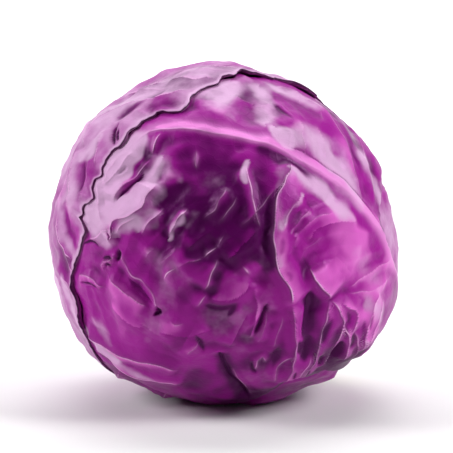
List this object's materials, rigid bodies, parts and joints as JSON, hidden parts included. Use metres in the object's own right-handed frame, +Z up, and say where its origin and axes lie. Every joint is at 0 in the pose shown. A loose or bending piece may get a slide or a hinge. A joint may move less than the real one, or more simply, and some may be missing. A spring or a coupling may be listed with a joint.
{
  "type": "red cabbage head",
  "caption": "Head of red cabbage lying on its side: wrapper leaves with waved edges and ribs around a tight heart and a cut stalk.",
  "frame": {"origin": "the middle of the small flat spot that the head rests on, straight below its centre", "axes": "+Z up; the head lies on its side with its cut stalk pointing to +X, +Y and down, and its crown to -X, -Y and up"},
  "size_m": [0.1536, 0.1575, 0.1504],
  "materials": {
    "outer_leaf_back": "waxy red cabbage leaf, violet with a pale bloom, soft satin gloss, paler veins",
    "outer_leaf_front": "waxy red cabbage leaf, deep magenta violet, glossy, pale pink midrib and veins",
    "outer_leaf_underside": "waxy red cabbage leaf, dark violet, satin",
    "outer_leaf_top_right": "waxy red cabbage leaf, violet magenta, satin, paler ruffled margin",
    "outer_leaf_base": "waxy red cabbage leaf, violet, paler towards the stalk",
    "inner_leaves": "tight inner leaves, pale violet, matt",
    "cut_stalk": "cut stalk, cream, dry and fibrous, browned at its edge"
  },
  "bodies": {
    "root": {"outer_leaf_back": "outer_leaf_back", "outer_leaf_front": "outer_leaf_front", "outer_leaf_underside": "outer_leaf_underside", "outer_leaf_top_right": "outer_leaf_top_right", "outer_leaf_base": "outer_leaf_base", "heart": "inner_leaves", "stalk": "cut_stalk"}
  },
  "joints": []
}
